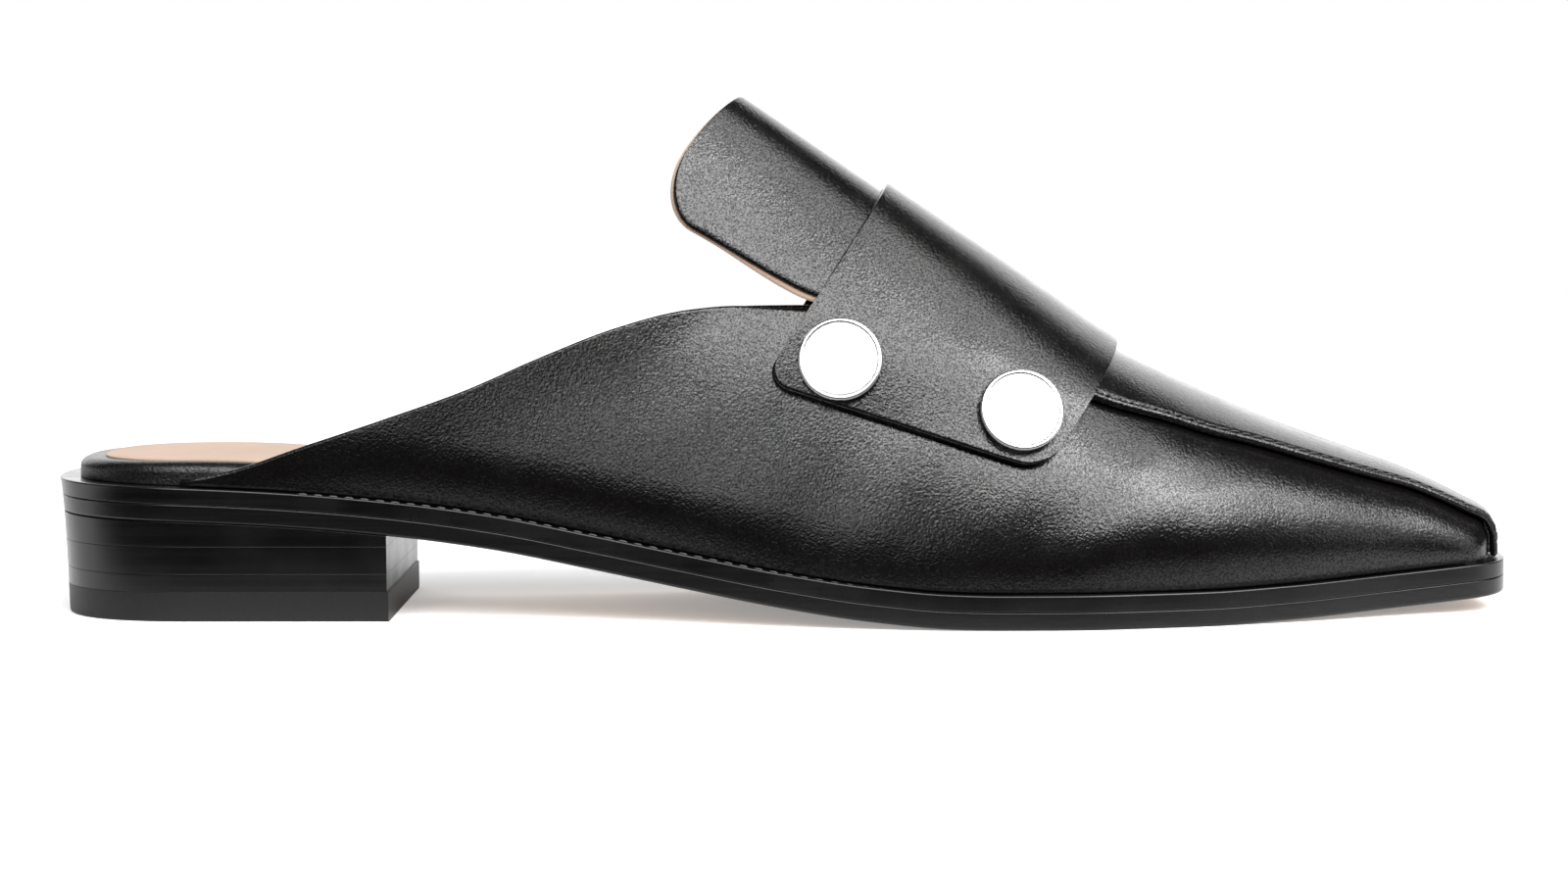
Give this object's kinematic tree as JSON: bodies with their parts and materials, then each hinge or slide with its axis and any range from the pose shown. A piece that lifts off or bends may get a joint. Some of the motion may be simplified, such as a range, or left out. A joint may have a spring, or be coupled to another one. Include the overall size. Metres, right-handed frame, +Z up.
{
  "type": "mule shoe",
  "caption": "Backless loafer mule with an elongated square toe, a standing tongue, a wide instep strap held by snap caps and a low stacked heel.",
  "frame": {"origin": "middle of the bounding box's bottom, on the ground", "axes": "+X from heel to toe, +Z up, -Y towards the outer (lateral) side of the foot"},
  "size_m": [0.2804, 0.0818, 0.0991],
  "materials": {
    "upper_leather": "fine-grained black calf leather, semi-gloss",
    "sole_edge": "edge-inked leather, satin black",
    "heel": "stacked leather lifts, inked and waxed black",
    "top_piece": "matte black wear rubber",
    "footbed": "black wrapped leather",
    "snap_cap": "polished nickel",
    "lining": "undyed pigskin lining, matte",
    "outsole_leather": "natural sole leather, lightly polished"
  },
  "bodies": {
    "root": {"outsole": "sole_edge", "midsole": "sole_edge", "heel_lift_upper": "heel", "heel_lift_middle": "heel", "heel_lift_lower": "heel", "heel_top_piece": "top_piece", "insole": "footbed", "upper": "upper_leather", "tongue": "upper_leather", "strap": "upper_leather", "stud_rear": "snap_cap", "stud_front": "snap_cap"}
  },
  "joints": []
}
